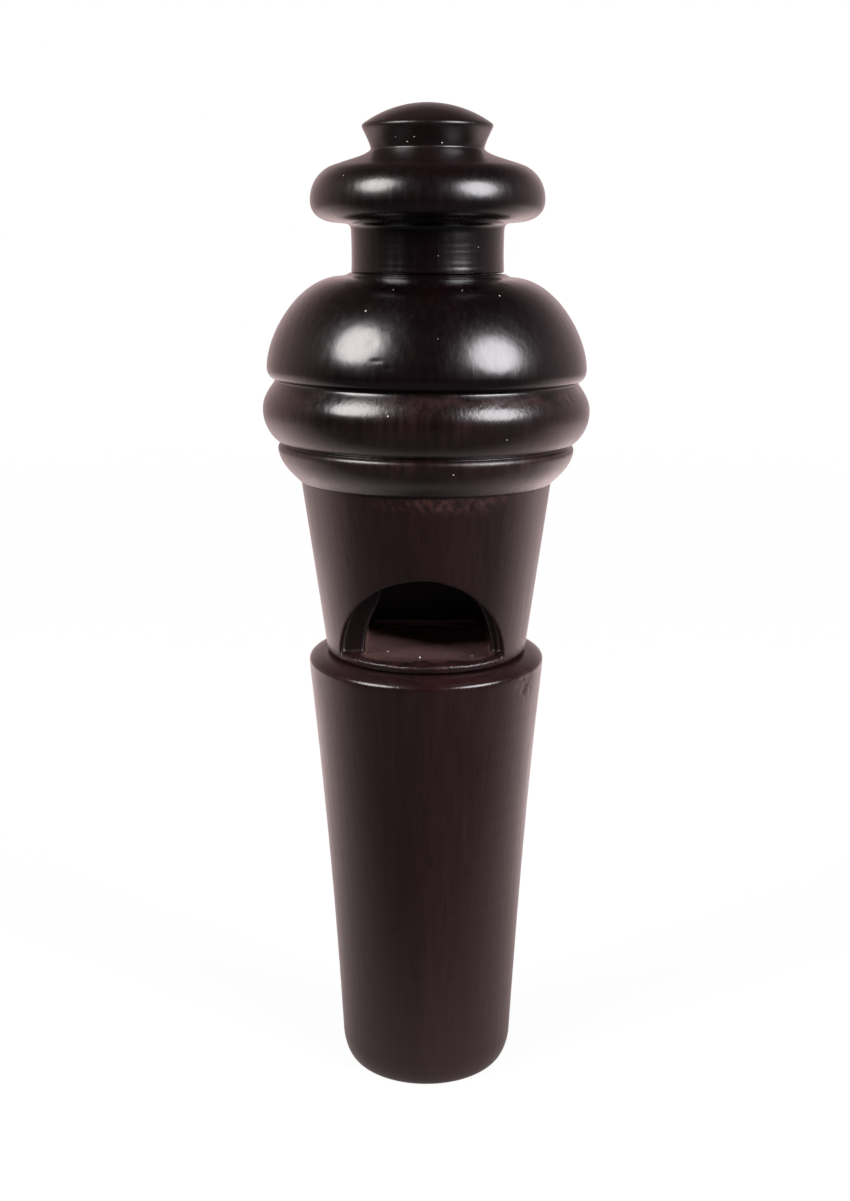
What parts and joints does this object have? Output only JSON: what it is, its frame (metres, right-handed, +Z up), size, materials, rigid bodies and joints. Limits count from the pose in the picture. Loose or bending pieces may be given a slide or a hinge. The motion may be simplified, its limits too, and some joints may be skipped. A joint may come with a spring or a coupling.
{
  "type": "duck call",
  "caption": "Turned wooden reed call: tapered mouthpiece barrel, plug-in sound body with a half-round side window, beaded dome and finial; blown from the barrel end to imitate a duck.",
  "frame": {"origin": "centre of the flat lip at the mouth end of the barrel, which is the face it stands on", "axes": "+Z up along the call towards the finial; -Y is the way the sound window faces; +X to the right seen from the window side"},
  "size_m": [0.041, 0.041, 0.1263],
  "materials": {
    "satin_wood": "dark rosewood, rubbed satin",
    "polished_wood": "near-black rosewood, polished to a gloss",
    "board_wood": "plain oiled hardwood",
    "waxed_thread": "waxed linen",
    "reed_brass": "rolled, brushed"
  },
  "bodies": {
    "barrel": {"mouthpiece_barrel": "satin_wood"},
    "lapping": {"tenon_lapping": "waxed_thread"},
    "insert": {"sound_body": "satin_wood", "head": "polished_wood", "finial": "polished_wood"},
    "board": {"tone_board": "board_wood"},
    "wedge": {"reed_wedge": "board_wood"},
    "tongue": {"reed": "reed_brass"}
  },
  "joints": [
    {"name": "insert_pull", "type": "slide", "parent": "barrel", "child": "lapping", "axis": [0, 0, 1], "range_m": [0, 0.055]},
    {"name": "insert_twist", "type": "hinge", "parent": "lapping", "child": "insert", "pos_m": [0, 0, 0.048], "axis": [0, 0, 1], "continuous": true},
    {"name": "board_draw", "type": "slide", "parent": "insert", "child": "board", "axis": [0, 0, -1], "range_m": [0, 0.0145]},
    {"name": "wedge_draw", "type": "slide", "parent": "board", "child": "wedge", "axis": [0, 0, -1], "range_m": [0, 0.0145]},
    {"name": "reed_flex", "type": "hinge", "parent": "board", "child": "tongue", "pos_m": [0, 0, 0.042], "axis": [1, 0, 0], "range_deg": [-1, 1.6], "stiffness_Nm_per_rad": 0.08}
  ]
}
